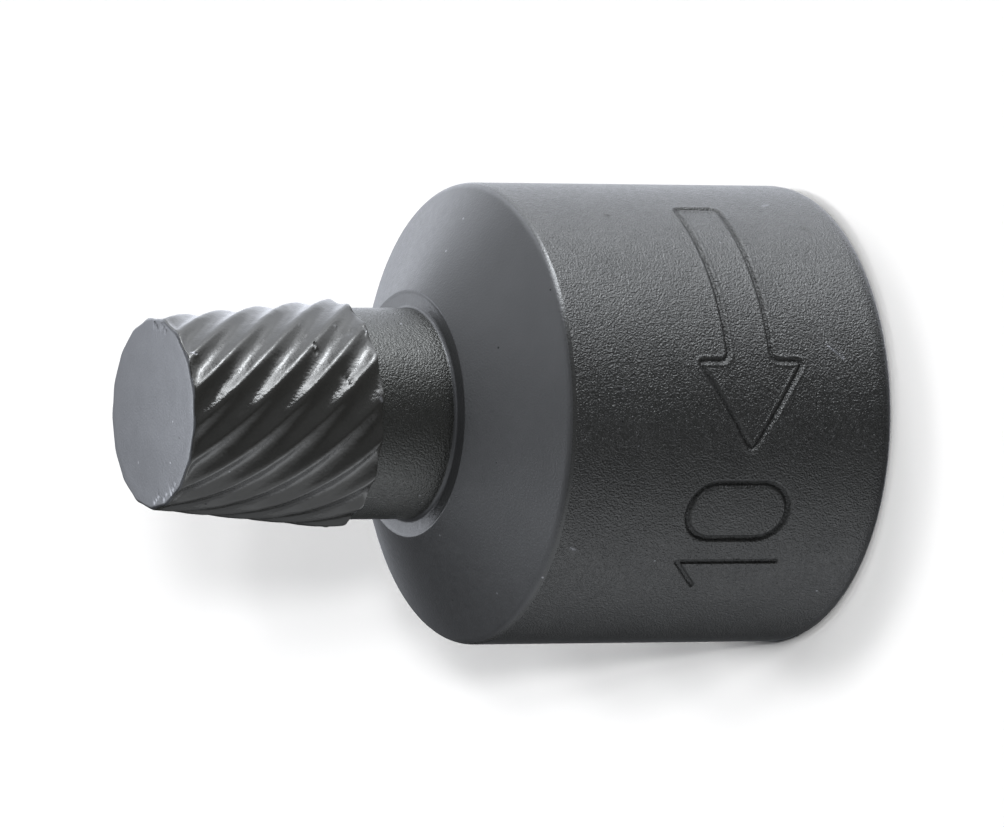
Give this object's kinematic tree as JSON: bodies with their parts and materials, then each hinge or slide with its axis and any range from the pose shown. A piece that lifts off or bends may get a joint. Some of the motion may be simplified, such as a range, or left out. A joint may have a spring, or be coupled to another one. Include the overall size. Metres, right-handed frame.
{
  "type": "screw extractor",
  "caption": "Spiral-flute screw extractor bit: a short round body with a conical shoulder and a square drive socket, and a tapered tip with left-hand flutes.",
  "frame": {"origin": "centre of the flat rear face, where the square drive socket opens", "axes": "+Z along the bit's own axis, from the drive end to the fluted tip"},
  "size_m": [0.024, 0.024, 0.037],
  "materials": {
    "blackened_steel": "satin black phosphate"
  },
  "bodies": {
    "root": {"screw_extractor": "blackened_steel"}
  },
  "joints": []
}
